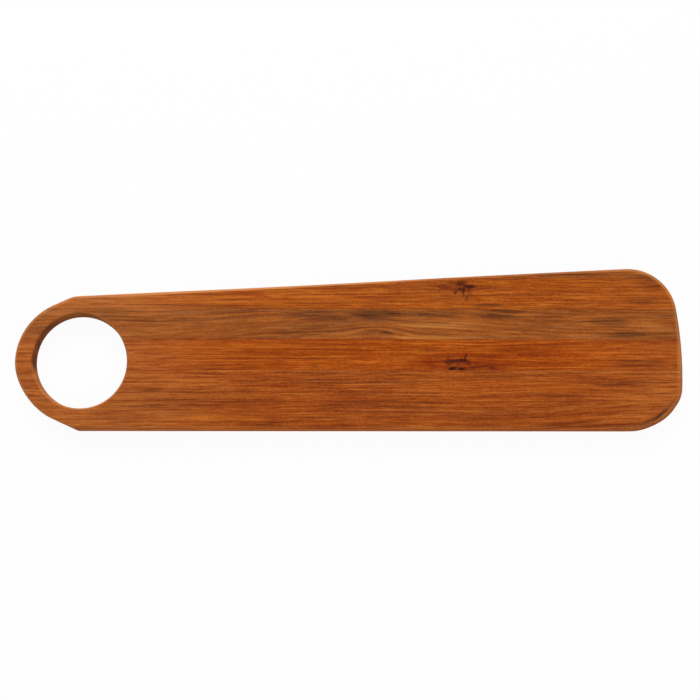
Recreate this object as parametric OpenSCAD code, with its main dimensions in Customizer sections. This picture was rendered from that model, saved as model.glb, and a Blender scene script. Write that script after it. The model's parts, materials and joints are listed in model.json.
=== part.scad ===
// Paddle serving board: a panel of hardwood staves, edge glued, sawn to a tapered paddle with a round
// hand hole through its narrow end, and eased along every edge.
// It lies flat, face up. +X runs from the handle to the wide end and +Y from the straight edge to the
// tapered edge. The origin is under the middle of its box. Lengths are in millimetres.

/* [Panel] */
// Overall length, from the handle's round end to the bow of the wide end
board_length = 700; // [600:5:800]
// Thickness of the planed panel
board_thickness = 20; // [14:1:30]
// Width of the stave along the straight edge
edge_stave_width = 29.6; // [28:0.2:36]
// Width of each full stave above it
stave_width = 32.6; // [30:0.2:36]
// Greatest width of the wedge stave, at the wide end of the tapered edge
wedge_width = 11; // [6:0.2:14]
// Thickness of the cured glue between two staves
glue_thickness = 0.2; // [0.1:0.05:0.4]

/* [Outline] */
// Slope of the tapered edge against the straight edge, in degrees
taper_angle = 3; // [2:0.1:3.5]
// Slope of the flat between the tapered edge and the handle's round end, in degrees
taper_flat_angle = 24.5; // [16:0.5:30]
// Slope of the flat between the straight edge and the handle's round end, in degrees
straight_flat_angle = 24.5; // [16:0.5:30]
// Radius of the bowed wide end
bow_radius = 424; // [300:2:800]
// Height of the bow's outermost point above the straight edge
bow_height = 68; // [50:1:90]
// Radius of the corner between the straight edge and the bow
straight_corner_radius = 53; // [20:1:60]
// Radius of the corner between the tapered edge and the bow
taper_corner_radius = 50; // [20:1:60]

/* [Handle] */
// Diameter of the hand hole
hole_diameter = 99; // [86:1:108]
// Wood left between the hole and the handle's end
end_rim = 18.5; // [14:0.5:26]
// Wood left round the hole by the handle's round end
round_rim = 16.2; // [12:0.2:20]
// Share of the spare width beside the hole, under the bridging stave's glue line, on the straight edge's side
straight_rim_share = 0.78; // [0.6:0.02:0.84]

/* [Edges] */
// Radius of the eased long edges
edge_round = 3; // [1:0.25:5]
// Radius of the eased rim of the hand hole
hole_round = 2; // [1:0.25:4]

/* [Hidden] */
$fn = 180;
// How far each rounding stands past the two faces that it joins, which leaves a faint arris along them
arris = 0.05;
// How far each round of the outline stands past the runs that it joins, which leaves a faint break there
blend_step = 0.3;
// How much more the corners and the handle's flats are eased than the long edges, and the ends than those
ease_step = 0.1;
corner_round = edge_round + ease_step;
end_round = corner_round + ease_step;
// How far a cut runs past the surface that it cuts
overrun = 6;

// Staves are counted from the straight edge: the edge stave, the full staves, then the wedge stave
full_staves = 4;
wedge_stave = full_staves + 2;
glue_lines = full_staves + 1;
stave_pitch = stave_width + glue_thickness;

board_width = edge_stave_width + full_staves * stave_width + glue_lines * glue_thickness + wedge_width;
straight_y = -board_width / 2;
handle_x = -board_length / 2;

// The hand hole lies under the glue line of the stave that bridges it
bridging_stave = 4;
bridged_width = edge_stave_width + (bridging_stave - 1) * stave_pitch;
straight_rim = straight_rim_share * (bridged_width - hole_diameter);
hole_radius = hole_diameter / 2;
hole_x = handle_x + end_rim + hole_radius;
hole_y = straight_y + straight_rim + hole_radius;

// The handle's round end, level with the hole
end_radius = hole_radius + round_rim;
end_centre = [handle_x + end_radius, hole_y];

// The bow of the wide end, swept well past both of its corners
bow_centre = [board_length / 2 - bow_radius, straight_y + bow_height];
bow_sweep = asin(board_width / bow_radius);

// A corner's round lies inside the bow but for the blend step, with its centre at the height given
function corner_centre(radius, height) =
    let (reach = bow_radius - radius + blend_step, rise = height - bow_centre.y)
    [bow_centre.x + sqrt(reach * reach - rise * rise), height];

straight_corner = corner_centre(straight_corner_radius, straight_y + straight_corner_radius - blend_step);
taper_corner = corner_centre(taper_corner_radius, board_width / 2 - taper_corner_radius);

// Direction of a corner's centre as seen from the bow's centre, in degrees
function bow_direction(centre) = atan2(centre.y - bow_centre.y, centre.x - bow_centre.x);

// Outward directions of the four straight runs of the outline, in degrees
straight_out = -90;
taper_out = 90 + taper_angle;
taper_flat_out = 90 + taper_flat_angle;
straight_flat_out = 270 - straight_flat_angle;

// Lower and upper faces of a stave, with the outer staves left full for the edge cuts
function stave_low(stave) = stave == 1 ? straight_y - overrun
    : straight_y + edge_stave_width + glue_thickness + (stave - 2) * stave_pitch;
function stave_high(stave) = stave == 1 ? straight_y + edge_stave_width
    : stave == wedge_stave ? board_width / 2 + overrun
    : stave_low(stave) + stave_width;

// Section of what an eased edge loses at its lower arris, with the wood at negative x and positive y
module arris_section(round) {
    inset = round - arris;
    difference() {
        translate([-inset, -overrun]) square(inset + overrun);
        translate([-inset, inset]) circle(round);
    }
}

// Section of all that lies outside an eased edge, out to the width given
module outside_section(round, width) {
    translate([0, -overrun]) square([width, board_thickness + 2 * overrun]);
    arris_section(round);
    translate([0, board_thickness]) mirror([0, 1]) arris_section(round);
}

// Trims the wood along a straight run that faces the direction given, a set distance from a point
module straight_trim(point, distance, direction, round) {
    difference() {
        children();
        translate([point.x, point.y, 0]) rotate([0, 0, direction]) translate([distance, 0, 0])
            rotate([90, 0, 0]) linear_extrude(2 * board_length, center = true)
                outside_section(round, board_width);
    }
}

// Trims the wood round the outside of an arc, from one direction to another
module round_trim(centre, radius, from, to, round) {
    difference() {
        children();
        translate([centre.x, centre.y, 0]) rotate_extrude(angle = to - from, start = from)
            translate([radius, 0]) outside_section(round, board_width);
    }
}

// Bores the hand hole, with both of its rims eased
module hole_trim() {
    difference() {
        children();
        translate([hole_x, hole_y, 0]) rotate_extrude()
            intersection() {
                translate([hole_radius, 0]) mirror([1, 0]) outside_section(hole_round, hole_radius);
                translate([0, -overrun])
                    square([hole_radius + hole_round, board_thickness + 2 * overrun]);
            }
    }
}

// A strip of the panel between two heights and two ends, trimmed to the outline and bored
module strip(low, high, left, right) {
    hole_trim()
    round_trim(end_centre, end_radius, taper_flat_out, straight_flat_out, end_round)
    round_trim(bow_centre, bow_radius, -bow_sweep, bow_sweep, end_round)
    round_trim(taper_corner, taper_corner_radius, bow_direction(taper_corner), taper_out, corner_round)
    round_trim(straight_corner, straight_corner_radius, straight_out, bow_direction(straight_corner),
        corner_round)
    straight_trim(end_centre, end_radius - blend_step, straight_flat_out, corner_round)
    straight_trim(end_centre, end_radius - blend_step, taper_flat_out, corner_round)
    straight_trim(taper_corner, taper_corner_radius - blend_step, taper_out, edge_round)
    straight_trim(straight_corner, straight_corner_radius - blend_step, straight_out, edge_round)
        translate([left, low, 0]) cube([right - left, high - low, board_thickness]);
}

// The ends of a strip that runs the whole length, or that stops within the hole
strip_left = handle_x - overrun;
strip_right = board_length / 2 + overrun;

module whole_stave(stave) strip(stave_low(stave), stave_high(stave), strip_left, strip_right);
module blade_stave(stave) strip(stave_low(stave), stave_high(stave), hole_x, strip_right);
module tip_stave(stave) strip(stave_low(stave), stave_high(stave), strip_left, hole_x);

// The glue above a stave
function glue_low(stave) = stave_high(stave);
function glue_high(stave) = stave_high(stave) + glue_thickness;
module whole_glue(stave) strip(glue_low(stave), glue_high(stave), strip_left, strip_right);
module blade_glue(stave) strip(glue_low(stave), glue_high(stave), hole_x, strip_right);
module tip_glue(stave) strip(glue_low(stave), glue_high(stave), strip_left, hole_x);

glue_colour = "#5b3317";

// Full-length stave under the straight edge, notched by the lower part of the hole
module straight_edge_stave() { color("#a5551d") whole_stave(1); }

// Two staves that the hole cuts through, each with a blade and a tip at the handle's end
module second_stave() { color("#ad591b") blade_stave(2); }
module second_stave_handle_tip() { color("#ad591b") tip_stave(2); }
module third_stave() { color("#b35a15") blade_stave(3); }
module third_stave_handle_tip() { color("#b35a15") tip_stave(3); }

// Smoky brown stave that bridges the top of the hole
module fourth_stave() { color("#935c2c") whole_stave(bridging_stave); }

// Uppermost full stave, sawn along the taper
module fifth_stave() { color("#b3601f") whole_stave(5); }

// Sliver that makes up the width at the wide end and runs out along the taper
module taper_wedge_stave() { color("#a25f2b") whole_stave(wedge_stave); }

// Glue lines, the lower three parted by the hole
module first_glue_line() { color(glue_colour) blade_glue(1); }
module first_glue_line_handle_tip() { color(glue_colour) tip_glue(1); }
module second_glue_line() { color(glue_colour) blade_glue(2); }
module second_glue_line_handle_tip() { color(glue_colour) tip_glue(2); }
module third_glue_line() { color(glue_colour) blade_glue(3); }
module third_glue_line_handle_tip() { color(glue_colour) tip_glue(3); }
module fourth_glue_line() { color(glue_colour) whole_glue(bridging_stave); }
module wedge_glue_line() { color(glue_colour) whole_glue(5); }

straight_edge_stave();
second_stave();
second_stave_handle_tip();
third_stave();
third_stave_handle_tip();
fourth_stave();
fifth_stave();
taper_wedge_stave();
first_glue_line();
first_glue_line_handle_tip();
second_glue_line();
second_glue_line_handle_tip();
third_glue_line();
third_glue_line_handle_tip();
fourth_glue_line();
wedge_glue_line();
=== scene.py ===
"""Looks of a paddle serving board: eased hardwood staves, glued edge to edge, with a round hand hole.

Lengths are in millimetres and angles in degrees, unless a name says otherwise. The frame is in metres.
"""

import json
import math
from collections import namedtuple
from dataclasses import dataclass

import bmesh
import bpy
from mathutils import Matrix, Vector
from mathutils.geometry import delaunay_2d_cdt


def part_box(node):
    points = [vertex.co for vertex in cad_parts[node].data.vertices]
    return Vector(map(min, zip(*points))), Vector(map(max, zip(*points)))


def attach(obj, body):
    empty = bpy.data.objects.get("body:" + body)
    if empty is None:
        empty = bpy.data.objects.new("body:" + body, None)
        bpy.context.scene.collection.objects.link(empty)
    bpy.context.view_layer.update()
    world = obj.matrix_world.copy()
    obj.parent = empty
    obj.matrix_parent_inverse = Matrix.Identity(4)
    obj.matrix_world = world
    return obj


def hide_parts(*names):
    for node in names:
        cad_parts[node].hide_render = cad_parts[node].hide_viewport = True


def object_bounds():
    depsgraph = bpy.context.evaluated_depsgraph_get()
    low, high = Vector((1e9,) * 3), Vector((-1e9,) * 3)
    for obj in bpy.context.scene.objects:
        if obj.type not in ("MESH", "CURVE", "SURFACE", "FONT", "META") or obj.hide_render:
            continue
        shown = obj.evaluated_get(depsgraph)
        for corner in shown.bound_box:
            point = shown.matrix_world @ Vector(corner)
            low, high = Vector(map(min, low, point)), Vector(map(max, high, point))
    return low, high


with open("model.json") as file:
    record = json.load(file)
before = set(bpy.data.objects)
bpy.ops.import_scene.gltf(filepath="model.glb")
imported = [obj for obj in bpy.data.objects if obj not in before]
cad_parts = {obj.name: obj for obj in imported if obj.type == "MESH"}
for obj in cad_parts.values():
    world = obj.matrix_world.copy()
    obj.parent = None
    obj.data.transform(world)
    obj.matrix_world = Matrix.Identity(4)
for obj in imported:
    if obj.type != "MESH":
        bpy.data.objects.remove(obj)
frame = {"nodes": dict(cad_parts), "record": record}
cad_low, cad_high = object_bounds()

MM = 0.001

# Sizes that the frame gives

LEFT, STRAIGHT_Y, BOTTOM = (value / MM for value in cad_low)
RIGHT, TAPER_Y, TOP = (value / MM for value in cad_high)

hand_hole = next(mount for mount in frame["record"]["mounts"] if mount["name"] == "hand_hole")
HOLE_X, HOLE_Y = (value / MM for value in hand_hole["pos_m"][:2])
HOLE_RADIUS = hand_hole["dims"]["r_mm"]

# Outline, as the saw left it

TAPER_ANGLE = 3
FLAT_ANGLE = 24.5
BOW_RADIUS = 424
BOW_HEIGHT = 68
STRAIGHT_CORNER_RADIUS = 53
TAPER_CORNER_RADIUS = 50
ROUND_RIM = 16.2
TAPER_KINK_RADIUS = 26
STRAIGHT_KINK_RADIUS = 10

# Outward directions of the two long edges and of the handle's two flats
STRAIGHT_OUT = -90
TAPER_OUT = 90 + TAPER_ANGLE
TAPER_FLAT_OUT = 90 + FLAT_ANGLE
STRAIGHT_FLAT_OUT = 270 - FLAT_ANGLE

# Hollow that the plane left in the tapered edge
HOLLOW_DEPTH = 0.7
HOLLOW_X = -60
HOLLOW_REACH = 190

# Places where hand sanding left a round uneven: the outward direction at the middle, the reach and the depth
SANDED = [
    ("corner", -66, 30, 0.75),
    ("corner", -19, 16, -0.9),
    ("handle", -143, 36, 1.5),
]

# The hole was sawn by hand: a little long one way, and a little narrower below than above
HOLE_LENGTHENING = 0.65
HOLE_LONG_DIRECTION = 115
HOLE_NARROWING = 0.6

# Eased edges: the easing widens towards the bowed end, most at the straight edge's corner, and again
# along the tapered edge towards the handle
EDGE_EASE = 3
HOLE_EASE = 2
HANDLE_EASE = 1.3
HANDLE_EASE_START = -60
HANDLE_EASE_FULL = -240
HANDLE_EASE_RISE = 50
BOW_EASE = 1.8
BOW_EASE_START = 250
CORNER_EASE = 1.2
CORNER_EASE_REACH = 42
CORNER_EASE_INSET = 0.3 * STRAIGHT_CORNER_RADIUS
# How much of its extra width an easing also takes down the wall
EASE_STEEPNESS = 0.72

# A shallow shoulder lies behind the easing at the bowed end
SHOULDER_DEPTH = 0.9
BOW_SHOULDER_DEPTH = 0.15
SHOULDER_WIDTH = 0.8

# Fineness of the mesh, and the flat ring that keeps an easing's shading off the faces
ARC_STEP = 2.2
RUN_STEP = 9
EASE_STEPS = 8
WALL_STEPS = 4
HOLE_STEPS = 144
SUPPORT = 0.8
SHARP_ANGLE = 40

# Edges shorter than this are dissolved, and a stave's face this near the outline isn't cut
TINY = 0.02
EDGE_MARGIN = 1
FILL_TOLERANCE = 1e-4
CUT_TOLERANCE_M = 1e-7

# Mesh layer that tells the triangles of the two faces from the rest
FLAT = "flat"


def direction(angle):
    """Unit vector in the plan."""
    return Vector((math.cos(math.radians(angle)), math.sin(math.radians(angle))))


def angle_of(vector):
    """Direction of a vector in the plan, in degrees."""
    return math.degrees(math.atan2(vector.y, vector.x))


def smooth(value, low, high):
    """Rises smoothly from 0 at low to 1 at high, or falls where low is the higher."""
    share = min(max((value - low) / (high - low), 0), 1)
    return share * share * (3 - 2 * share)


def meeting(first_out, first_reach, second_out, second_reach):
    """Point that lies at set distances along two outward directions."""
    first, second = direction(first_out), direction(second_out)
    cross = first.x * second.y - first.y * second.x
    return Vector((
        (first_reach * second.y - second_reach * first.y) / cross,
        (second_reach * first.x - first_reach * second.x) / cross,
    ))


def outline_arcs():
    """The outline's arcs, counter-clockwise from the bow's outermost point."""
    bow = Vector((RIGHT - BOW_RADIUS, STRAIGHT_Y + BOW_HEIGHT))
    end_radius = HOLE_RADIUS + ROUND_RIM
    end = Vector((LEFT + end_radius, HOLE_Y))

    def corner(radius, height):
        reach, rise = BOW_RADIUS - radius, height - bow.y
        return Vector((bow.x + math.sqrt(reach * reach - rise * rise), height))

    straight = corner(STRAIGHT_CORNER_RADIUS, STRAIGHT_Y + STRAIGHT_CORNER_RADIUS)
    taper = corner(TAPER_CORNER_RADIUS, TAPER_Y - TAPER_CORNER_RADIUS)
    taper_reach = taper.dot(direction(TAPER_OUT)) + TAPER_CORNER_RADIUS
    taper_kink = meeting(
        TAPER_OUT, taper_reach - TAPER_KINK_RADIUS,
        TAPER_FLAT_OUT, end.dot(direction(TAPER_FLAT_OUT)) + end_radius - TAPER_KINK_RADIUS,
    )
    straight_kink = meeting(
        STRAIGHT_OUT, -STRAIGHT_Y - STRAIGHT_KINK_RADIUS,
        STRAIGHT_FLAT_OUT, end.dot(direction(STRAIGHT_FLAT_OUT)) + end_radius - STRAIGHT_KINK_RADIUS,
    )
    return [
        (bow, BOW_RADIUS, 0, angle_of(taper - bow)),
        (taper, TAPER_CORNER_RADIUS, angle_of(taper - bow), TAPER_OUT),
        (taper_kink, TAPER_KINK_RADIUS, TAPER_OUT, TAPER_FLAT_OUT),
        (end, end_radius, TAPER_FLAT_OUT, STRAIGHT_FLAT_OUT),
        (straight_kink, STRAIGHT_KINK_RADIUS, STRAIGHT_FLAT_OUT, 360 + STRAIGHT_OUT),
        (straight, STRAIGHT_CORNER_RADIUS, STRAIGHT_OUT, angle_of(straight - bow)),
        (bow, BOW_RADIUS, angle_of(straight - bow), 0),
    ]


def outline_points():
    """Points of the outline with their outward directions, arcs and straight runs alike."""
    points = []
    for centre, radius, start, end in outline_arcs():
        first = centre + radius * direction(start)
        if points:
            last, out = points[-1]
            run = (first - last).length
            steps = math.ceil(run / RUN_STEP) if run > ARC_STEP else 0
            for step in range(1, steps):
                points.append((last.lerp(first, step / steps), out))
            if steps == 0:
                points.pop()
        steps = max(2, math.ceil(math.radians(end - start) * radius / ARC_STEP))
        for step in range(steps + 1):
            out = direction(start + (end - start) * step / steps)
            points.append((centre + radius * out, out))
    points.pop()
    return [(sanded(hollowed(point, out), out), out) for point, out in points]


def hollowed(point, out):
    """Moves a point of the tapered edge in, where the plane left it hollow."""
    along = (point.x - HOLLOW_X) / HOLLOW_REACH
    if abs(along) >= 1 or out.y < math.cos(math.radians(TAPER_ANGLE + 1)):
        return point
    return point - HOLLOW_DEPTH * (1 - along * along) ** 2 * out


def sanded(point, out):
    """Moves a point of a round in or out, where hand sanding left the round uneven."""
    shift = 0
    for rounded, middle, reach, depth in SANDED:
        on_round = out.x > 0 if rounded == "corner" else out.x < 0
        away = (angle_of(out) - middle) / reach
        if on_round and abs(away) < 1:
            shift += depth * (1 - away * away) ** 2
    return point - shift * out


def sawn_wide(turn, height):
    """How far the hole's wall lies outside a true bore, at a direction from its middle and a height."""
    lengthening = HOLE_LENGTHENING * math.cos(math.radians(2 * (turn - HOLE_LONG_DIRECTION)))
    return lengthening - HOLE_NARROWING * (TOP - height) / (TOP - BOTTOM)


def easing(point):
    """Width of the easing at a point of the outline, and the depth of the shoulder behind it."""
    corner = Vector((RIGHT - CORNER_EASE_INSET, STRAIGHT_Y + CORNER_EASE_INSET))
    near = math.exp(-((point - corner).length / CORNER_EASE_REACH) ** 2)
    bowed = smooth(point.x, BOW_EASE_START, RIGHT)
    handled = smooth(point.x, HANDLE_EASE_START, HANDLE_EASE_FULL)
    handled *= smooth(point.y, HOLE_Y, HOLE_Y + HANDLE_EASE_RISE)
    shoulder = BOW_SHOULDER_DEPTH * bowed + SHOULDER_DEPTH * near
    return EDGE_EASE + BOW_EASE * bowed + CORNER_EASE * near + HANDLE_EASE * handled, shoulder


def quarter_round(width, drop):
    """Inset and depth at each step of an easing, from the face to the wall."""
    turns = [math.radians(90) * step / EASE_STEPS for step in range(EASE_STEPS + 1)]
    return [(width * (1 - math.sin(turn)), drop * (1 - math.cos(turn))) for turn in turns]


def eased_wall(upper, width, drop, lower_width):
    """Inset and height down a wall with two eased rims: the upper width by drop, the lower one round."""
    wall_top, wall_low = upper - drop, BOTTOM + lower_width
    profile = [(inset, upper - depth) for inset, depth in quarter_round(width, drop)]
    profile += [(0, wall_top + (wall_low - wall_top) * step / WALL_STEPS) for step in range(1, WALL_STEPS)]
    profile += [(depth, BOTTOM + inset) for inset, depth in quarter_round(lower_width, lower_width)]
    return profile


def edge_profile(width, shoulder):
    """Inset and height of an eased edge from the upper face to the lower one."""
    drop = EDGE_EASE + EASE_STEEPNESS * (width - EDGE_EASE)
    return [
        (width + SHOULDER_WIDTH + SUPPORT, TOP),
        (width + SHOULDER_WIDTH, TOP),
        (width + SHOULDER_WIDTH / 2, TOP - shoulder / 2),
        *eased_wall(TOP - shoulder, width, drop, EDGE_EASE),
        (EDGE_EASE + SUPPORT, BOTTOM),
    ]


def hole_profile():
    """Inset and height of the hand hole's eased wall from the upper face to the lower one."""
    return [
        (HOLE_EASE + SUPPORT, TOP),
        *eased_wall(TOP, HOLE_EASE, HOLE_EASE, HOLE_EASE),
        (HOLE_EASE + SUPPORT, BOTTOM),
    ]


def ring_of(mesh, places):
    """A closed ring of vertices at places in millimetres."""
    return [mesh.verts.new(Vector(place) * MM) for place in places]


def skin(mesh, rings):
    """Quads between each ring and the next."""
    for upper, lower in zip(rings, rings[1:]):
        count = len(upper)
        for i in range(count):
            j = (i + 1) % count
            mesh.faces.new((upper[i], lower[i], lower[j], upper[j]))


def fill_between(mesh, outer, inner):
    """Flat faces between an outer ring and the hole's ring."""
    vertices = outer + inner
    inside = range(len(outer), len(vertices))
    edges = []
    for start, ring in ((0, outer), (len(outer), inner)):
        edges += [(start + i, start + (i + 1) % len(ring)) for i in range(len(ring))]
    places = [vertex.co.xy / MM for vertex in vertices]
    triangles = delaunay_2d_cdt(places, edges, [], 1, FILL_TOLERANCE)[2]
    flat = mesh.faces.layers.int[FLAT]
    for corners in triangles:
        if not all(corner in inside for corner in corners):
            mesh.faces.new([vertices[corner] for corner in corners])[flat] = 1


def whole_board():
    """The panel before it is parted into staves: eased edges all round, the hole, and the two faces."""
    mesh = bmesh.new()
    mesh.faces.layers.int.new(FLAT)
    points = outline_points()
    profiles = [edge_profile(*easing(point)) for point, _ in points]
    edge_rings = []
    for level in range(len(profiles[0])):
        places = []
        for (point, out), profile in zip(points, profiles):
            inset, height = profile[level]
            places.append((*(point - inset * out), height))
        edge_rings.append(ring_of(mesh, places))
    skin(mesh, edge_rings)

    hole_rings = []
    turns = [360 * step / HOLE_STEPS for step in range(HOLE_STEPS)]
    for inset, height in hole_profile():
        places = []
        for turn in turns:
            out = (HOLE_RADIUS + inset + sawn_wide(turn, height)) * direction(turn)
            places.append((HOLE_X + out.x, HOLE_Y + out.y, height))
        hole_rings.append(ring_of(mesh, places))
    skin(mesh, hole_rings)

    fill_between(mesh, edge_rings[0], hole_rings[0])
    fill_between(mesh, edge_rings[-1], hole_rings[-1])
    return mesh


def drop_islands(mesh, keep):
    """Deletes each connected part of the mesh whose middle, in millimetres, isn't to be kept."""
    left = set(mesh.verts)
    dropped = []
    while left:
        island = []
        front = [left.pop()]
        while front:
            vertex = front.pop()
            island.append(vertex)
            for edge in vertex.link_edges:
                other = edge.other_vert(vertex)
                if other in left:
                    left.remove(other)
                    front.append(other)
        xs = [vertex.co.x / MM for vertex in island]
        if not keep((min(xs) + max(xs)) / 2):
            dropped += island
    bmesh.ops.delete(mesh, geom=dropped, context="VERTS")


def join_flats(mesh):
    """Joins the triangles of a piece's upper face into one, and those of its lower face."""
    flat = mesh.faces.layers.int[FLAT]
    bmesh.ops.dissolve_faces(mesh, faces=[face for face in mesh.faces if face[flat]], use_verts=True)


def cut_out(board, node):
    """The part of the board that a CAD node holds, between its two faces and on its side of the hole."""
    low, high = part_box(node)
    mesh = board.copy()
    for place, outward in ((low, -1), (high, 1)):
        if not STRAIGHT_Y + EDGE_MARGIN < place.y / MM < TAPER_Y - EDGE_MARGIN:
            continue
        cut = bmesh.ops.bisect_plane(
            mesh, geom=mesh.verts[:] + mesh.edges[:] + mesh.faces[:], dist=CUT_TOLERANCE_M,
            plane_co=(0, place.y, 0), plane_no=(0, outward, 0), clear_outer=True,
        )
        loops = [element for element in cut["geom_cut"] if isinstance(element, bmesh.types.BMEdge)]
        bmesh.ops.edgeloop_fill(mesh, edges=loops)
    if high.x / MM < HOLE_X:
        drop_islands(mesh, lambda middle: middle < HOLE_X)
    elif low.x / MM > HOLE_X:
        drop_islands(mesh, lambda middle: middle > HOLE_X)
    join_flats(mesh)
    bmesh.ops.dissolve_degenerate(mesh, dist=TINY * MM, edges=mesh.edges[:])
    bmesh.ops.recalc_face_normals(mesh, faces=mesh.faces[:])
    return mesh


def board_piece(board, node, material):
    """The finished piece that takes a CAD node's place."""
    mesh = cut_out(board, node)
    data = bpy.data.meshes.new(node + "_wood")
    mesh.to_mesh(data)
    mesh.free()
    data.shade_smooth()
    data.set_sharp_from_angle(angle=math.radians(SHARP_ANGLE))
    data.materials.append(material)
    piece = bpy.data.objects.new(node + "_finished", data)
    bpy.context.scene.collection.objects.link(piece)
    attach(piece, "root")
    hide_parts(node)


# Shader maths

# Sockets of the Mix node, when it mixes colours
MIX_SHARE, MIX_FIRST, MIX_SECOND, MIX_RESULT = 0, 6, 7, 2


class Field:
    """A value that varies over a surface: one output socket, whose arithmetic adds Math nodes."""

    def __init__(self, tree, socket=None):
        self.tree = tree
        self.socket = socket

    def node(self, kind, settings=None, inputs=None, output=0):
        """Adds a node: its settings first, then the values or links of its sockets."""
        node = self.tree.nodes.new(kind)
        for name, value in (settings or {}).items():
            setattr(node, name, value)
        for key, value in (inputs or {}).items():
            if isinstance(value, Field):
                self.tree.links.new(value.socket, node.inputs[key])
            else:
                node.inputs[key].default_value = value
        return Field(self.tree, node.outputs[output])

    def math(self, operation, *values):
        """Adds a Math node."""
        return self.node("ShaderNodeMath", {"operation": operation}, dict(enumerate(values)))

    def vector(self, operation, *values, output=0):
        """Adds a Vector Math node."""
        return self.node("ShaderNodeVectorMath", {"operation": operation}, dict(enumerate(values)), output)

    def root(self):
        return self.math("SQRT", self)

    def sine(self):
        return self.math("SINE", self)

    def capped(self, limit):
        return self.math("MINIMUM", self, limit)

    def fade(self, low, high):
        """Rises smoothly from 0 at low to 1 at high, or falls where low is the higher."""
        settings = {"interpolation_type": "SMOOTHSTEP"}
        return self.node("ShaderNodeMapRange", settings, {0: self, 1: low, 2: high})

    def ramp(self, low, high):
        """Rises evenly from 0 at low to 1 at high."""
        return self.node("ShaderNodeMapRange", None, {0: self, 1: low, 2: high})

    def __add__(self, other):
        return self.math("ADD", self, other)

    __radd__ = __add__

    def __sub__(self, other):
        return self.math("SUBTRACT", self, other)

    def __rsub__(self, other):
        return self.math("SUBTRACT", other, self)

    def __mul__(self, other):
        return self.math("MULTIPLY", self, other)

    __rmul__ = __mul__

    def __truediv__(self, other):
        return self.math("DIVIDE", self, other)

    def __abs__(self):
        return self.math("ABSOLUTE", self)


def total(fields):
    """Sum of several fields."""
    result = fields[0]
    for field in fields[1:]:
        result = result + field
    return result


def parts(vector):
    """The three parts of a vector field."""
    return [vector.node("ShaderNodeSeparateXYZ", None, {0: vector}, axis) for axis in range(3)]


def joined(x, y, z):
    """A vector field from its three parts."""
    return x.node("ShaderNodeCombineXYZ", None, {0: x, 1: y, 2: z})


def board_place(tree):
    """The place on the board, in millimetres."""
    here = Field(tree).node("ShaderNodeTexCoord", output="Object")
    return here.vector("MULTIPLY", here, (1 / MM, 1 / MM, 1 / MM))


def facing(tree):
    """The three parts of the surface's outward direction."""
    return parts(Field(tree).node("ShaderNodeNewGeometry", output="Normal"))


def wall_share(level):
    """1 on a wall and 0 on a face, from how level the surface lies."""
    return level.fade(0.55, 0.15)


def colour(red, green, blue):
    """A colour from its screen values out of 255, as the shader's sockets take it."""
    def linear(value):
        share = value / 255
        return share / 12.92 if share <= 0.04045 else ((share + 0.055) / 1.055) ** 2.4
    return linear(red), linear(green), linear(blue), 1


def mixed(first, second, share, blend="MIX"):
    """A colour that goes from the first to the second, by a share that is a field."""
    settings = {"data_type": "RGBA", "blend_type": blend}
    inputs = {MIX_SHARE: share, MIX_FIRST: first, MIX_SECOND: second}
    return share.node("ShaderNodeMix", settings, inputs, MIX_RESULT)


def stained(first, stain, share):
    """A colour that is multiplied by a stain, by a share that is a field."""
    return mixed(first, stain, share, "MULTIPLY")


def noise(vector, sizes, seed, detail=1, roughness=0.5):
    """Noise either side of zero, whose grains have the sizes given along X, Y and Z."""
    scale = tuple(1 / size for size in sizes)
    place = vector.vector("MULTIPLY_ADD", vector, scale, seed)
    return place.node(
        "ShaderNodeTexNoise", {"noise_dimensions": "3D"},
        {"Vector": place, "Scale": 1, "Detail": detail, "Roughness": roughness},
    ) - 0.5


def new_material(name):
    """An empty material, its node tree and its output."""
    material = bpy.data.materials.new(name)
    material.use_nodes = True
    tree = material.node_tree
    tree.nodes.clear()
    return material, tree, tree.nodes.new("ShaderNodeOutputMaterial")


# Wood

SMOKE_COLOUR = colour(69, 38, 20)
STREAK_COLOUR = colour(98, 36, 10)
GLOW_COLOUR = colour(198, 104, 28)
TAN_COLOUR = colour(190, 122, 58)
# Dark colour for painted shade in the shoulder's crease and on the hand hole's left wall, and for small dark
# spots
SHADE_AND_SPOT_COLOUR = colour(66, 36, 16)
KNOT_COLOUR = colour(80, 28, 7)
PITH_COLOUR = colour(48, 14, 6)
# A pale tan that the wood turns towards the handle and towards the bowed end
PALE_END_COLOUR = colour(204, 134, 74)
# Pale colour of the easings, partly sanded bare and partly painted highlight, also used as painted light on
# the hand hole's lit wall
BARE_EDGE_AND_PAINTED_LIGHT_COLOUR = colour(214, 140, 76)
PORE_COLOUR = colour(84, 36, 12)
# Dark colour of the end grain, also used as painted shade on the hand hole's shaded wall and on the bow's
# lower rim
END_GRAIN_AND_SHADE_COLOUR = colour(78, 34, 12)
RED_STAIN = 0.96, 0.68, 0.6, 1
GREY_STAIN = 0.66, 0.82, 2.3, 1
HALO_STAIN = 0.58, 0.36, 0.4, 1
STAIN_SHARE = 0.42

# Sizes of the figure's grains along the board, across it and down into it
DRIFT_SIZES = 260, 70, 70
WOBBLE_SIZES = 130, 16, 16
CLOUD_SIZES = 120, 36, 36
BAND_SIZES = 320, 12, 60
LINE_SIZES = 170, 3.6, 40
THREAD_SIZES = 95, 1.5, 20
HAIR_SIZES = 22, 1.1, 20
FLECK_SIZES = 3.2, 1.2, 1.2
SWELL_SIZES = 150, 7, 40
PORE_SIZES = 4, 0.3, 0.3
TINT_SIZES = 110, 5, 30
CRUMBLE_SIZES = 3, 2.4, 3

# Growth lines: how far apart they lie, how far the bands shift them, and how far the grain wobbles
GROWTH_PITCH = 4.4
GROWTH_SHIFT = 8
WOBBLE = 4

# The grain bends round a knot within about this distance of its middle line
KNOT_MIDDLE = 3

# How deep a mark goes before it fades out
MARK_DEPTH = 34

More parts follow.
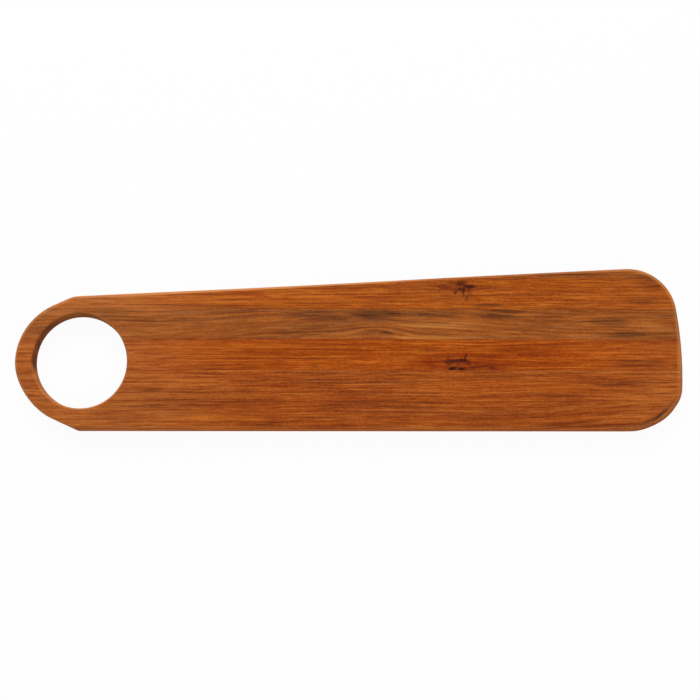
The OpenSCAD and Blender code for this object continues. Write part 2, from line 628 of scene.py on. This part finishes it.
# How much of each kind of mark is at full strength, as a share of its reach
SMOKE_CORE = 0.25
KNOT_CORE = 0.15
PITH_CORE = 0.2

# The wood turns paler from the handle to here, and again near the bowed end
HANDLE_PALING_END = -90
END_PALING_START = 220

# Sanding left all easings a little bare, and the handle's end barer; the easings of the tapered edge and the
# bow are paler still, partly sanded bare and partly painted highlight
EASING_BARE = 0.12
HANDLE_BARE = 0.24
HANDLE_BARE_REACH = 20
TAPER_BARE_HIGHLIGHT = 0.13
BOW_BARE_HIGHLIGHT = 0.12

# The bow's easing is palest here, partly sanded bare and partly painted highlight
BOW_PEAK_BARE_HIGHLIGHT = 0.26
BOW_PEAK_Y = -3
BOW_PEAK_REACH = 30

# The tapered edge's easing is palest between these places, and again towards its corner, partly sanded bare
# and partly painted highlight
TAPER_PEAK_BARE_HIGHLIGHT = 0.38
TAPER_PEAK_START_FADE = -280
TAPER_PEAK_START = -170
TAPER_PEAK_END = 40
TAPER_PEAK_END_FADE = 90
CORNER_PEAK_BARE_HIGHLIGHT = 0.26

# The bow's pale easing, partly sanded bare and partly painted highlight, and the painted shade on its lower
# rim fade out short of the tapered edge's corner
BOW_RIM_FADE = 40
BOW_RIM_END = 60

# The hole's rim is palest at its lowest and at its upper right, partly sanded bare and partly painted
# highlight
HOLE_LOW_BARE_HIGHLIGHT = 0.22
HOLE_HIGH_BARE_HIGHLIGHT = 0.26

# How strongly the pores show, and the painted shade on the hole's shaded wall, the painted light on its lit
# wall and the painted shade on the bow's lower rim
PORE_STRENGTH = 0.35
SHADED_STRENGTH = 0.28
LIT_STRENGTH = 0.3
RIM_STRENGTH = 0.32

# Finish: how strong and how deep the grain is felt, and how much the oil shines
BUMP_STRENGTH = 0.3
BUMP_DEPTH = 0.15
OIL_SHINE = 0.1

# A mark on the upper face: its middle, its half length and half width, how strong it is and how much it leans
Mark = namedtuple("Mark", "x y half_length half_width strength lean", defaults=(0,))

# A place that the grain parts round: its middle, how far the grain bends there, and its reach
Eye = namedtuple("Eye", "x y bend reach_x reach_y")

# A knot: the eye that it sits in, its halo, its dark core and its pith
Knot = namedtuple("Knot", "eye halo core pith")


@dataclass
class Stave:
    """How one stave was cut from the log, and what its wood shows."""

    seed: int
    # Dark, middle and light tone
    tones: tuple
    # Height across the board and height above the table of the log's middle
    pith: tuple
    drift: float = 6
    contrast: float = 1
    greyness: float = 0
    # How much paler the wood turns towards the handle and towards the bowed end
    paling: float = 0.2
    end_paling: float = 0.1
    end_tone: float = 0.5
    # Middle, height and reach of each arch in the grain
    arches: tuple = ()
    hills: tuple = ()
    knots: tuple = ()
    smoke: tuple = ()
    streaks: tuple = ()
    # Painted shade in the shoulder's crease and on the hand hole's wall, and small dark spots
    painted_shade_and_spots: tuple = ()
    glows: tuple = ()
    glow_tone: tuple = GLOW_COLOUR

    def offset(self, layer):
        """Offset into the noise for one layer of this stave."""
        return 7.3 * self.seed + 3.1 * layer, 2.7 * self.seed - 5.9 * layer, 1.9 * self.seed + 4.3 * layer


def mark_share(place, mark, core):
    """How much of a mark shows at a place: all of it in its core, none outside."""
    across = 1 / mark.half_width
    rows = (
        (1 / mark.half_length, 0, 0),
        (-mark.lean * across, across, 0),
        (0, 0, 1 / MARK_DEPTH),
    )
    middle = Vector((mark.x, mark.y, TOP))
    offsets = []
    for row in rows:
        offsets.append(place.vector("DOT_PRODUCT", place, row, output="Value") - Vector(row).dot(middle))
    away = joined(*offsets)
    return mark.strength * away.vector("LENGTH", away, output="Value").fade(1, core)


def marks_share(place, marks, core=0):
    """How much of any of several marks shows at a place."""
    return total([mark_share(place, mark, core) for mark in marks]).capped(1)


def grain_line(stave, place):
    """The height across the board that the grain at a place would have if it ran straight."""
    x, y, _ = parts(place)
    drift = noise(place, DRIFT_SIZES, stave.offset(0))
    wobble = noise(place, WOBBLE_SIZES, stave.offset(1), detail=2)
    line = y - stave.drift * drift - WOBBLE * wobble
    for middle, height, reach in stave.arches:
        line = line - height * (abs(x - middle) / reach).fade(1, 0)
    for hill in stave.hills:
        line = line - mark_share(place, hill, 0)
    for eye in (knot.eye for knot in stave.knots):
        beside = y - eye.y
        reach = mark_share(place, Mark(eye.x, eye.y, eye.reach_x, eye.reach_y, 1), 0)
        line = line - eye.bend * reach * beside / (beside * beside + KNOT_MIDDLE ** 2).root()
    return line


class Figure:
    """The fields that a stave's look is made from: where a place lies, how it faces, and its figure."""

    def __init__(self, tree, stave):
        self.place = board_place(tree)
        self.x, self.y, self.z = parts(self.place)
        self.out_x, self.out_y, out_z = facing(tree)
        self.level = abs(out_z)
        self.steep = wall_share(self.level)

        line = grain_line(stave, self.place)
        pith_y, pith_z = stave.pith
        across, below = line - pith_y, self.z - pith_z
        self.ring = (across * across + below * below).root()
        grain = joined(self.x, self.ring, self.z)
        fibre = joined(self.x, line, self.z)

        self.cloud = noise(self.place, CLOUD_SIZES, stave.offset(2), detail=2)
        self.bands = noise(grain, BAND_SIZES, stave.offset(3))
        self.lines = noise(grain, LINE_SIZES, stave.offset(4))
        self.threads = noise(grain, THREAD_SIZES, stave.offset(5))
        self.hairs = noise(grain, HAIR_SIZES, stave.offset(6))
        self.flecks = noise(fibre, FLECK_SIZES, stave.offset(7))
        self.swell = noise(grain, SWELL_SIZES, stave.offset(8))
        self.pores = noise(fibre, PORE_SIZES, stave.offset(9)).fade(0.12, 0.24)
        self.tint = noise(grain, TINT_SIZES, stave.offset(10), detail=2)
        self.streaky = (self.threads + self.lines).fade(0.12, -0.12)


def grown_wood(stave, figure):
    """The wood's colour: growth lines, threads and hairs, with its stains, and paler towards the handle and
    the bowed end.
    """
    # Growth lines come and go along the board
    wave = (figure.ring * (math.tau / GROWTH_PITCH) + GROWTH_SHIFT * figure.bands).sine()
    growth = wave.fade(0.3, 1) * figure.swell.ramp(-0.2, 0.25)
    tone = 0.3 * figure.bands + 0.4 * figure.cloud - 0.2 * (growth - 0.12)
    tone = tone + 0.36 * figure.lines + 0.82 * figure.threads
    tone = 0.5 + stave.contrast * (tone + 0.85 * figure.hairs + 0.55 * figure.flecks)
    dark, middle, light = stave.tones
    wood = mixed(dark, middle, tone.ramp(0.05, 0.5))
    wood = mixed(wood, light, tone.ramp(0.5, 0.95))
    wood = stained(wood, RED_STAIN, STAIN_SHARE * figure.tint.fade(0.02, 0.22))
    wood = stained(wood, GREY_STAIN, STAIN_SHARE * (figure.tint - stave.greyness).fade(-0.02, -0.22))
    # Paler towards the handle and towards the bowed end
    paling = stave.paling * figure.x.fade(HANDLE_PALING_END, HOLE_X)
    paling = paling + stave.end_paling * figure.x.fade(END_PALING_START, RIGHT)
    return mixed(wood, PALE_END_COLOUR, paling * (1 + 2 * figure.threads + 1.6 * figure.hairs))


def marked(stave, figure, wood):
    """Adds the marks and knots, which follow the grain and have ragged ends."""
    x, y, z = figure.x, figure.y, figure.z
    lines, threads, hairs, streaky = figure.lines, figure.threads, figure.hairs, figure.streaky
    ragged = joined(x + 40 * threads + 40 * lines, y + 4 * lines + 5 * threads, z)
    if stave.glows:
        wood = mixed(wood, stave.glow_tone, marks_share(ragged, stave.glows) * (1 - 0.7 * streaky))
    if stave.smoke:
        soft = joined(x + 30 * lines + 12 * threads, y + 2.4 * lines + 2 * threads, z)
        fine = (threads + hairs).fade(0.14, -0.14)
        smoke = marks_share(soft, stave.smoke, SMOKE_CORE) * (0.44 + 0.22 * streaky + 0.26 * fine)
        wood = mixed(wood, SMOKE_COLOUR, smoke)
    if stave.streaks:
        wood = mixed(wood, STREAK_COLOUR, marks_share(ragged, stave.streaks) * (0.5 + 0.5 * streaky))
    # Painted shade in the shoulder's crease and on the hand hole's left wall, and a few small dark spots
    if stave.painted_shade_and_spots:
        wood = mixed(wood, SHADE_AND_SPOT_COLOUR, marks_share(figure.place, stave.painted_shade_and_spots))
    for knot in stave.knots:
        crumble = noise(figure.place, CRUMBLE_SIZES, stave.offset(11), detail=4, roughness=0.65)
        rough = joined(x + 4 * crumble + 3 * threads, y + 3 * crumble + 2 * threads, z)
        fibrous = 1.05 + 1.6 * crumble + 0.6 * hairs
        wood = stained(wood, HALO_STAIN, marks_share(ragged, knot.halo) * (0.6 + 0.4 * streaky))
        wood = mixed(wood, KNOT_COLOUR, marks_share(rough, knot.core, KNOT_CORE) * fibrous)
        wood = mixed(wood, PITH_COLOUR, marks_share(rough, knot.pith, PITH_CORE))
    return wood


def hole_shares(figure):
    """How far a place takes painted shade on the hole's shaded side, painted light on its lit sides, and
    paler colour on its rim, partly sanded bare and partly painted highlight.
    """
    left, up = HOLE_X - figure.x, figure.y - HOLE_Y
    away = (left * left + up * up).root()
    near = away.fade(HOLE_RADIUS + 2 * HOLE_EASE, HOLE_RADIUS + HOLE_EASE)
    low_left = (up / away).fade(-0.1, -0.32) * (left / away).fade(0.2, 0.5)
    high_right = ((up - left) / away).fade(1.2, 1.38)
    shaded = near * ((left + up) / away).fade(0.6, 1.05)
    lit = near * (low_left + high_right)
    # The rim's paler colour, partly sanded bare and partly painted highlight
    bare = HOLE_LOW_BARE_HIGHLIGHT * near * (up / away).fade(-0.4, -0.9) + HOLE_HIGH_BARE_HIGHLIGHT * near * high_right
    return shaded, lit, bare


def outline_shares(figure):
    """How pale the easing of the outline is at a place, partly sanded bare and partly painted highlight, and
    how far the place is on the bow's lower rim, which takes painted shade.
    """
    x, y, out_x, out_y = figure.x, figure.y, figure.out_x, figure.out_y
    off_corner = 1 - y.fade(BOW_RIM_FADE, BOW_RIM_END)
    bowed = out_x.fade(0.05, 0.25) * x.fade(0, 9)
    bow = BOW_BARE_HIGHLIGHT + BOW_PEAK_BARE_HIGHLIGHT * (abs(y - BOW_PEAK_Y) / BOW_PEAK_REACH).fade(1, 0.35)
    bow = bow * bowed * out_y.fade(-0.5, 0) * off_corner
    taper = TAPER_PEAK_BARE_HIGHLIGHT * x.fade(TAPER_PEAK_END_FADE, TAPER_PEAK_END)
    taper = taper * x.fade(TAPER_PEAK_START_FADE, TAPER_PEAK_START)
    taper = (TAPER_BARE_HIGHLIGHT + taper + CORNER_PEAK_BARE_HIGHLIGHT * x.fade(END_PALING_START, RIGHT)) * out_y.fade(0, 0.2)
    handle = HANDLE_BARE * out_x.fade(-0.05, -0.3) * out_y.fade(0.35, -0.1)
    handle = handle * x.fade(HOLE_X + HANDLE_BARE_REACH, HOLE_X)
    # The bow's steep lower rim, which takes painted shade
    rim = bowed * figure.level.fade(0.94, 0.5) * off_corner
    return EASING_BARE + taper + bow + handle, rim


def edged(stave, figure, wood):
    """Adds the end grain of the walls, painted shade and painted light in the hand hole, the paler easings,
    partly sanded bare and partly painted highlight, and painted shade on the bow's lower rim.
    """
    out_x, out_y, level = figure.out_x, figure.out_y, figure.level
    shaded, lit, hole_bare_highlight = hole_shares(figure)
    outline_bare_highlight, rim = outline_shares(figure)
    endwise = out_x * out_x / (out_x * out_x + out_y * out_y + 0.001)
    end_share = figure.steep * endwise.fade(0.1, 0.6) * (1 - lit)
    eased = level.fade(0.999, 0.97) * level.fade(0.25, 0.5) * (1 - shaded)
    wood = mixed(wood, END_GRAIN_AND_SHADE_COLOUR, end_share * (stave.end_tone - 0.15 + 0.3 * figure.streaky))
    # Painted shade on the hand hole's shaded wall
    wood = mixed(wood, END_GRAIN_AND_SHADE_COLOUR, SHADED_STRENGTH * shaded * level.fade(0.96, 0.7))
    # Painted light on the hand hole's lit walls
    wood = mixed(wood, BARE_EDGE_AND_PAINTED_LIGHT_COLOUR, LIT_STRENGTH * lit * figure.steep)
    # Paler easings: partly sanded bare, partly painted highlight
    wood = mixed(wood, BARE_EDGE_AND_PAINTED_LIGHT_COLOUR, eased * (outline_bare_highlight + hole_bare_highlight))
    # Painted shade on the bow's lower rim
    return mixed(wood, END_GRAIN_AND_SHADE_COLOUR, RIM_STRENGTH * rim)


def stave_wood(name, stave):
    """Oiled hardwood with the figure, marks, open pores, end grain and bare easings of one stave, with
    painted shade, painted light and painted highlights at its edges and in the hand hole.
    """
    material, tree, output = new_material(name)
    figure = Figure(tree, stave)
    wood = marked(stave, figure, grown_wood(stave, figure))
    wood = mixed(wood, PORE_COLOUR, PORE_STRENGTH * figure.pores)
    wood = edged(stave, figure, wood)
    height = figure.lines + 0.7 * figure.threads + 0.5 * figure.flecks - 0.6 * figure.pores
    bump = height.node("ShaderNodeBump", None, {
        "Strength": BUMP_STRENGTH, "Distance": BUMP_DEPTH * MM, "Height": height,
    })
    roughness = 0.5 + 0.25 * figure.flecks + 0.2 * figure.bands + 0.12 * figure.pores + 0.4 * figure.steep
    shader = wood.node("ShaderNodeBsdfPrincipled", None, {
        "Base Color": wood, "Roughness": roughness, "Normal": bump, "Specular IOR Level": OIL_SHINE,
    })
    tree.links.new(shader.socket, output.inputs["Surface"])
    return material


# Glue: dark and pale streaks, and the wood that shows through it on the walls
GLUE_DARK = colour(90, 40, 13)
GLUE_PALE = colour(134, 64, 20)
GLUE_ON_WALL = colour(156, 80, 24)
GLUE_ON_WALL_SHARE = 0.7
GLUE_STREAK_SIZES = 22, 3, 3
GLUE_OFFSET = 4.1, 2.2, 9.7


def cured_glue():
    """Glue squeezed flush and planed off: dark, slightly streaked, and thin on the walls."""
    material, tree, output = new_material("cured_glue")
    streak = noise(board_place(tree), GLUE_STREAK_SIZES, GLUE_OFFSET, detail=2)
    tint = mixed(GLUE_DARK, GLUE_PALE, streak.fade(-0.15, 0.15))
    tint = mixed(tint, GLUE_ON_WALL, GLUE_ON_WALL_SHARE * wall_share(abs(facing(tree)[2])))
    shader = tint.node("ShaderNodeBsdfPrincipled", None, {
        "Base Color": tint, "Roughness": 0.45 + 0.2 * streak, "Specular IOR Level": OIL_SHINE,
    })
    tree.links.new(shader.socket, output.inputs["Surface"])
    return material


# Staves, from the straight edge to the tapered one

RED_BROWN = colour(112, 44, 10), colour(160, 76, 18), colour(195, 107, 36)
RICH_BROWN = colour(113, 40, 2), colour(160, 69, 4), colour(200, 106, 25)
ORANGE_BROWN = colour(116, 46, 11), colour(166, 80, 15), colour(206, 116, 34)
SMOKY_BROWN = colour(108, 50, 16), colour(150, 79, 26), colour(188, 106, 42)
DEEP_BROWN = colour(106, 44, 12), colour(153, 77, 24), colour(188, 108, 42)

EDGE_STAVE = Stave(
    seed=1, tones=RED_BROWN, pith=(-150, -60), arches=[(330, 9, 190)], contrast=1.04, end_tone=0.3,
    streaks=[
        Mark(254, -80.4, 96, 5, 0.95, 0.02), Mark(-120, -58, 110, 1.4, 0.4), Mark(60, -68, 120, 1.6, 0.4),
        Mark(278, -62, 36, 1.6, 0.5, 0.06), Mark(130, -70, 90, 14, 0.42), Mark(40, -80.5, 46, 2, 0.6, 0.03),
        Mark(30, -74, 60, 3, 0.4, 0.08), Mark(8, -57.4, 40, 1.6, 0.7),
    ],
    glows=[
        Mark(-100, -58, 90, 1.2, 0.5), Mark(-60, -71, 110, 1.2, 0.5), Mark(-130, -66, 40, 1.6, 0.5),
        Mark(222, -70, 40, 10, 0.25), Mark(-146, -71, 80, 20, 0.2),
    ],
    # Painted shade along the crease of the shoulder at the bowed corner
    painted_shade_and_spots=[
        Mark(324.8, -69.4, 12, 3.8, 0.85, 0.85), Mark(312.4, -76.4, 17, 3.2, 0.75, 0.45),
        Mark(334.6, -59.6, 7, 3, 0.2, 1.4),
    ],
)
SECOND_STAVE = Stave(
    seed=2, tones=RED_BROWN, pith=(-160, -40), drift=3, contrast=1.12, greyness=0.03, end_tone=0.35,
    streaks=[
        Mark(-204, -45, 22, 3, 0.8), Mark(-190, -43.8, 90, 1.6, 0.6), Mark(-102, -43, 22, 2.6, 0.7),
        Mark(-110, -34.5, 20, 2, 0.6), Mark(-78, -33, 70, 1.6, 0.5), Mark(-60, -50, 90, 1.6, 0.4),
        Mark(300, -33.5, 120, 1.5, 0.6), Mark(270, -39.5, 30, 1.5, 0.6),
    ],
    glows=[Mark(-196, -26.4, 34, 1.6, 0.7), Mark(212, -41, 66, 16, 0.44)],
)
THIRD_KNOT = Knot(
    eye=Eye(114, -17, 3, 48, 14),
    halo=[
        Mark(116, -15, 60, 12, 0.6), Mark(134, -19, 50, 8, 0.55), Mark(94, -16, 48, 10, 0.8),
        Mark(112, -18, 24, 8, 0.8), Mark(98, -16, 22, 9, 1),
    ],
    core=[
        Mark(112, -17.4, 17, 6.5, 0.26), Mark(117, -13, 11, 3.4, 1), Mark(107, -13.8, 8, 2.4, 0.85),
        Mark(104.6, -17, 3, 3.2, 0.45), Mark(103.5, -14.2, 9, 4, 0.4), Mark(125.4, -15.6, 4.6, 3, 0.65),
        Mark(122, -8.9, 2.1, 6, 0.85), Mark(103.9, -8.8, 1.9, 5, 0.6), Mark(118, -22.9, 30, 1.5, 0.4),
        Mark(127, -21.2, 8, 2.2, 0.4), Mark(136, -20.2, 16, 2.4, 0.5), Mark(150, -20.7, 6, 1.8, 0.8),
    ],
    pith=[Mark(108.2, -21.6, 6.8, 3.2, 1, 0.08), Mark(118, -21.7, 6, 2.8, 1), Mark(119, -13.1, 7, 2, 0.65)],
)
THIRD_STAVE = Stave(
    seed=3, tones=RICH_BROWN, pith=(130, -70), drift=4, greyness=-0.1, paling=0.25, end_paling=0.13,
    knots=[THIRD_KNOT],
    smoke=[Mark(302, -15, 26, 5, 0.46), Mark(283, -18.5, 16, 3, 0.42), Mark(86, -2.4, 18, 4, 0.35)],
    streaks=[Mark(330, -13.5, 24, 1.4, 0.6)],
    # Two small dark spots, and painted shade on the hand hole's left wall
    painted_shade_and_spots=[
        Mark(-229, -3, 5, 2, 0.5), Mark(-35.5, -19.2, 7, 2.8, 0.42), Mark(-331.4, -12.8, 2.3, 14.5, 0.48),
    ],
    glows=[
        Mark(-188, -2.4, 50, 1.8, 0.6), Mark(-50, 3.6, 80, 5, 0.5), Mark(242, 0, 55, 6, 0.5),
        Mark(-128, -7, 90, 26, 0.28),
    ],
)
SMOKY_STAVE = Stave(
    seed=4, tones=SMOKY_BROWN, pith=(-50, -46), contrast=0.95, greyness=0.02, paling=0.14, end_paling=0.05,
    arches=[(20, 10, 240)],
    hills=[Mark(28, 19, 50, 16, 5.5)],
    smoke=[
        Mark(-34, 36, 50, 10, 0.6), Mark(-33, 38.4, 24, 3.4, 0.3), Mark(-24, 31.4, 34, 4.6, 0.3, -0.1),
        Mark(17, 37, 22, 9, 0.85), Mark(30, 36.4, 24, 9, 0.95), Mark(41, 37, 20, 7, 0.45),
        Mark(2, 37, 20, 3.4, 0.4, -0.2), Mark(64, 36.6, 44, 7, 0.46), Mark(97, 37.7, 34, 7, 0.5),
        Mark(159, 35.4, 34, 8, 0.9), Mark(212, 34, 34, 4.4, 0.5), Mark(185.5, 16.4, 5, 2.2, 0.9),
        Mark(204, 14.5, 30, 1.8, 0.5, -0.05), Mark(39, 15.9, 13, 3, 0.7), Mark(-10, 22, 100, 12, 0.42),
        Mark(278, 31, 30, 2, 0.6), Mark(278, 27.6, 34, 6.4, 0.85), Mark(288, 14.6, 32, 5, 0.68),
        Mark(316, 14, 50, 2, 0.4), Mark(-150, 26, 60, 8, 0.15), Mark(105, 18, 44, 2.6, 0.5),
        Mark(-52, 15, 36, 4.4, 0.4), Mark(-258, 36, 36, 9, 0.45),
    ],
    glows=[
        Mark(60, 11.4, 120, 2.8, 1), Mark(322, 22.8, 34, 4, 0.7, -0.05), Mark(-60, 22, 40, 3, 0.5),
        Mark(120, 26, 40, 5, 0.5), Mark(-180, 37, 80, 2, 0.5, 0.06), Mark(92, 24.4, 60, 2.6, 0.8, -0.02),
    ],
    glow_tone=TAN_COLOUR,
)
FIFTH_KNOT = Knot(
    eye=Eye(119, 66, 2.4, 50, 14),
    halo=[Mark(110, 66, 40, 14, 0.3), Mark(124, 65, 36, 11, 0.42), Mark(94, 66, 40, 8, 0.35)],
    core=[
        Mark(119, 65.5, 16, 8, 0.24), Mark(127, 65.8, 9.6, 3.4, 1), Mark(118.4, 70, 10, 5, 0.66),
        Mark(114.8, 67.6, 5, 3, 0.4), Mark(108, 70.3, 8, 2.4, 0.45), Mark(116.8, 63.1, 2.8, 2.4, 0.9),
        Mark(120.3, 60, 2.3, 7, 1), Mark(123.5, 53.8, 2.2, 5, 0.75), Mark(126.1, 59.5, 1.7, 8, 0.45),
        Mark(128.9, 59.5, 1.6, 7, 0.35), Mark(111.9, 59.5, 2.8, 2.4, 0.85), Mark(100.4, 64.6, 10, 2.2, 0.55),
        Mark(137.5, 51, 3.2, 1.8, 0.45),
    ],
    pith=[Mark(128, 65.9, 8, 2.2, 0.75), Mark(120.2, 62.8, 2, 3.4, 0.85)],
)
FIFTH_STAVE = Stave(
    seed=5, tones=ORANGE_BROWN, pith=(210, -50), drift=4, paling=0.32, end_paling=0.07,
    knots=[FIFTH_KNOT],
    smoke=[
        Mark(307, 50, 26, 6.6, 0.48), Mark(146, 45.8, 22, 2.4, 0.7), Mark(296, 58, 44, 11, 0.16),
        Mark(324, 71, 28, 7, 0.4),
    ],
    streaks=[
        Mark(-56, 61.6, 150, 4, 0.4, 0.052), Mark(322, 66.5, 26, 8, 0.75), Mark(60, 66, 70, 2.5, 0.35),
        Mark(334, 54, 22, 12, 0.36),
    ],
    glows=[
        Mark(-30, 50.5, 140, 3, 0.7), Mark(75, 58, 36, 12, 0.25), Mark(290, 47, 50, 1.6, 0.7, -0.03),
        Mark(-180, 58, 150, 40, 0.24),
    ],
)
WEDGE_STAVE = Stave(
    seed=6, tones=DEEP_BROWN, pith=(230, -40), drift=2,
    smoke=[Mark(228, 79.4, 80, 3.4, 0.6), Mark(266, 80.2, 44, 4, 0.14), Mark(318, 75.4, 34, 8, 0.64)],
)

# Pieces: the staves, then the glue between them

board = whole_board()
woods = {
    "straight_edge_wood": (EDGE_STAVE, ["straight_edge_stave"]),
    "second_stave_wood": (SECOND_STAVE, ["second_stave", "second_stave_handle_tip"]),
    "third_stave_wood": (THIRD_STAVE, ["third_stave", "third_stave_handle_tip"]),
    "smoky_stave_wood": (SMOKY_STAVE, ["fourth_stave"]),
    "fifth_stave_wood": (FIFTH_STAVE, ["fifth_stave"]),
    "wedge_stave_wood": (WEDGE_STAVE, ["taper_wedge_stave"]),
}
for slot, (stave, nodes) in woods.items():
    wood = stave_wood(slot, stave)
    for node in nodes:
        board_piece(board, node, wood)
glue = cured_glue()
for node in sorted(frame["nodes"]):
    if "glue_line" in node:
        board_piece(board, node, glue)
board.free()

# Studio: a white floor inside a round white wall, open at the top

FLOOR_RADIUS = 3500
WALL_HEIGHT = 2600
STUDIO_STEPS = 96
FLOOR_GLOW = 0.95
FLOOR_PAINT = 0.9, 0.9, 0.9, 1
WHITE = 1, 1, 1, 1
AIR_STRENGTH = 0.22

# Two soft lamps that face the middle of the floor under the board
KEY_PLACE = -300, 1700, 1350
KEY_SIZE = 1800, 1200
KEY_WATTS = 44
FILL_PLACE = 900, -1500, 1500
FILL_SIZE = 1600, 1600
FILL_WATTS = 18.5

# Camera: nearly square to the face, tipped a little towards the straight edge
CAMERA_TILT = 9
CAMERA_YAW = -0.5
CAMERA_DISTANCE = 1410
CAMERA_TARGET = 0.6, -0.6, 10
FOCAL_PIXELS = 1335.7
FRAME_PIXELS = 700
SENSOR_WIDTH = 36


def studio_white():
    """White that shows as white to the eye and in reflections, and still takes the board's shadow."""
    material, tree, output = new_material("studio_white")
    path = tree.nodes.new("ShaderNodeLightPath")
    kinds = "Is Camera Ray", "Is Glossy Ray", "Is Transmission Ray"
    seen = total([Field(tree, path.outputs[kind]) for kind in kinds]).capped(1) * FLOOR_GLOW
    matte = seen.node("ShaderNodeBsdfDiffuse", None, {"Color": FLOOR_PAINT})
    glow = seen.node("ShaderNodeEmission", None, {"Color": WHITE, "Strength": 1})
    shader = seen.node("ShaderNodeMixShader", None, {0: seen, 1: matte, 2: glow})
    tree.links.new(shader.socket, output.inputs["Surface"])
    return material


def studio():
    """The floor and the wall round it, as one mesh."""
    mesh = bmesh.new()
    turns = [direction(360 * step / STUDIO_STEPS) for step in range(STUDIO_STEPS)]
    rings = [
        ring_of(mesh, [(FLOOR_RADIUS * turn.x, FLOOR_RADIUS * turn.y, height) for turn in turns])
        for height in (WALL_HEIGHT, BOTTOM)
    ]
    skin(mesh, rings)
    mesh.faces.new(rings[-1])
    data = bpy.data.meshes.new("studio")
    mesh.to_mesh(data)
    mesh.free()
    data.materials.append(studio_white())
    stage = bpy.data.objects.new("studio", data)
    bpy.context.scene.collection.objects.link(stage)


def softbox(name, place, size, watts):
    """A soft lamp that faces the origin."""
    lamp = bpy.data.lights.new(name, "AREA")
    lamp.shape = "RECTANGLE"
    lamp.size, lamp.size_y = (length * MM for length in size)
    lamp.energy = watts
    holder = bpy.data.objects.new(name, lamp)
    holder.location = Vector(place) * MM
    holder.rotation_euler = (-Vector(place)).to_track_quat("-Z", "Y").to_euler()
    bpy.context.scene.collection.objects.link(holder)


def camera():
    """The photograph's camera."""
    tilt, yaw = math.radians(CAMERA_TILT), math.radians(CAMERA_YAW)
    back = Vector((math.sin(yaw), -math.sin(tilt) * math.cos(yaw), math.cos(tilt) * math.cos(yaw)))
    right = Vector((0, 1, 0)).cross(back).normalized()
    up = back.cross(right)
    lens = bpy.data.cameras.new("camera")
    lens.sensor_width = SENSOR_WIDTH
    lens.lens = FOCAL_PIXELS / FRAME_PIXELS * SENSOR_WIDTH
    holder = bpy.data.objects.new("camera", lens)
    place = Matrix.Translation((Vector(CAMERA_TARGET) + CAMERA_DISTANCE * back) * MM)
    holder.matrix_world = place @ Matrix((right, up, back)).transposed().to_4x4()
    bpy.context.scene.collection.objects.link(holder)
    bpy.context.scene.camera = holder


studio()
softbox("key", KEY_PLACE, KEY_SIZE, KEY_WATTS)
softbox("fill", FILL_PLACE, FILL_SIZE, FILL_WATTS)
camera()

world = bpy.data.worlds.new("studio_air")
world.use_nodes = True
air = world.node_tree.nodes["Background"]
air.inputs["Color"].default_value = WHITE
air.inputs["Strength"].default_value = AIR_STRENGTH
bpy.context.scene.world = world
bpy.context.scene.view_settings.view_transform = "Standard"
